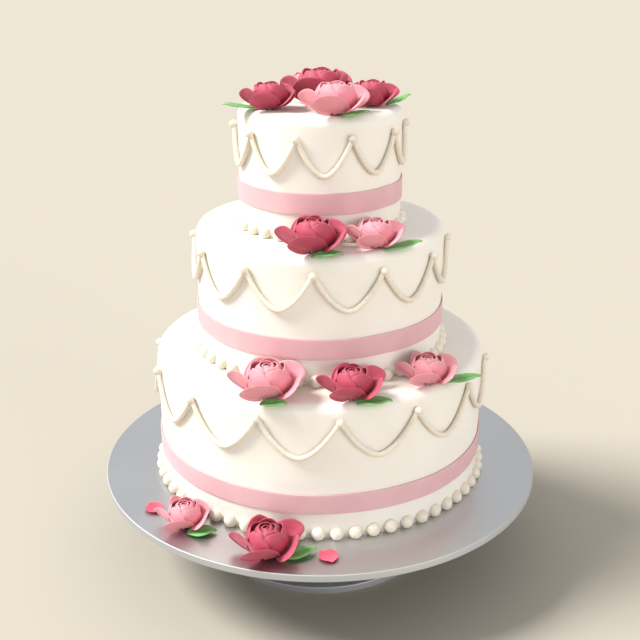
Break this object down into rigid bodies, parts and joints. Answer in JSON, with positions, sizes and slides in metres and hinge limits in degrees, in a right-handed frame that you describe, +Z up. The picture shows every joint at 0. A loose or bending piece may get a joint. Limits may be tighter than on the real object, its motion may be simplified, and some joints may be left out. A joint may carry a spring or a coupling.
{
  "type": "tiered wedding cake",
  "caption": "Tiered white wedding cake on a low silver stand, with pink bands, piped swags, pearl borders and sugar roses.",
  "frame": {"origin": "middle of the stand's foot, on the table", "axes": "+Z up through the middle of every tier; -Y towards the front, where the sugar roses run down"},
  "size_m": [0.408, 0.408, 0.4558],
  "materials": {
    "metal": "satin silver",
    "fondant": "smooth rolled sugar paste",
    "band": "rolled sugar paste ribbon",
    "icing": "piped royal icing",
    "petal_deep": "dusted sugar petals",
    "petal_pale": "dusted sugar petals",
    "petal_loose": "dusted sugar petals",
    "leaf": "glazed sugar leaves"
  },
  "bodies": {
    "root": {"stand_plate": "metal", "stand_foot": "metal", "tier_bottom": "fondant", "band_bottom": "band", "swags_bottom": "icing", "tier_middle": "fondant", "band_middle": "band", "swags_middle": "icing", "tier_top": "fondant", "band_top": "band", "swags_top": "icing", "rose_top_centre": "petal_deep", "rose_top_left": "petal_deep", "rose_top_front": "petal_pale", "rose_top_right": "petal_deep", "rose_top_back": "petal_pale", "rose_middle_left": "petal_deep", "rose_middle_right": "petal_pale", "rose_bottom_left": "petal_pale", "rose_bottom_centre": "petal_deep", "rose_bottom_right": "petal_pale", "rose_stand_left": "petal_pale", "rose_stand_right": "petal_deep", "leaf_top_left": "leaf", "leaf_top_front": "leaf", "leaf_top_right": "leaf", "leaf_middle_left": "leaf", "leaf_middle_right": "leaf", "leaf_bottom_left": "leaf", "leaf_bottom_centre": "leaf", "leaf_bottom_right": "leaf", "leaf_stand_left": "leaf", "leaf_stand_right": "leaf", "petal_left": "petal_loose", "petal_right": "petal_loose"}
  },
  "joints": []
}
